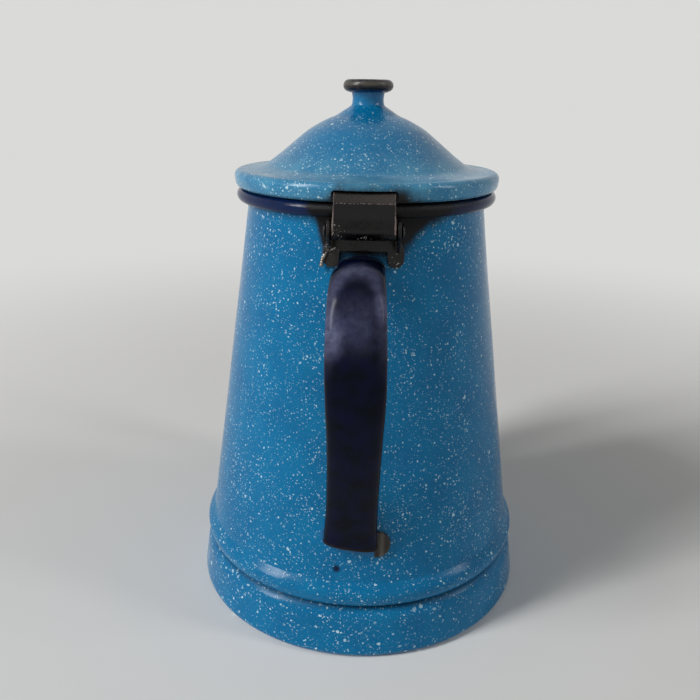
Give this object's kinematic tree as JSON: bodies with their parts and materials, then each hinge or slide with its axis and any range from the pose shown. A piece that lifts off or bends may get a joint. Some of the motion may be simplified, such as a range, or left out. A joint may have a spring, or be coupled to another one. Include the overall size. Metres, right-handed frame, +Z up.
{
  "type": "enamel coffee pot",
  "caption": "Tapered enamelled steel pot with a hinged domed lid, a strap handle opposite a gooseneck spout, and a flat base pan.",
  "frame": {"origin": "centre of the flat underside of the base pan, on the surface the pot stands on", "axes": "+Z up along the pot's axis, -Y towards the handle and the hinge, +Y towards the spout, +X to the right as seen from the handle's side"},
  "size_m": [0.14, 0.1946, 0.208],
  "materials": {
    "speckled_enamel": "bright blue vitreous enamel with fine white flecks, glossy",
    "cobalt_enamel": "dark cobalt vitreous enamel, glossy, worn brown along its edges",
    "scorched_steel": "sheet steel scorched black, with crusted soot",
    "rusty_steel": "sheet steel with brown rust where its enamel has gone",
    "drawn_wire": "plain drawn steel wire inside the rolled rim"
  },
  "bodies": {
    "pot": {"base_pan": "speckled_enamel", "body_shell": "speckled_enamel", "rim_wire": "drawn_wire", "spout": "speckled_enamel", "handle": "cobalt_enamel", "handle_foot_bracket": "rusty_steel", "hinge_bracket": "scorched_steel", "hinge_pin": "scorched_steel"},
    "lid": {"lid_strap": "scorched_steel", "lid_shell": "speckled_enamel", "lid_flange": "speckled_enamel", "knob_cap": "scorched_steel"}
  },
  "joints": [
    {"name": "lid_hinge", "type": "hinge", "parent": "pot", "child": "lid", "pos_m": [0, -0.051, 0.16], "axis": [1, 0, 0], "range_deg": [0, 104]}
  ]
}
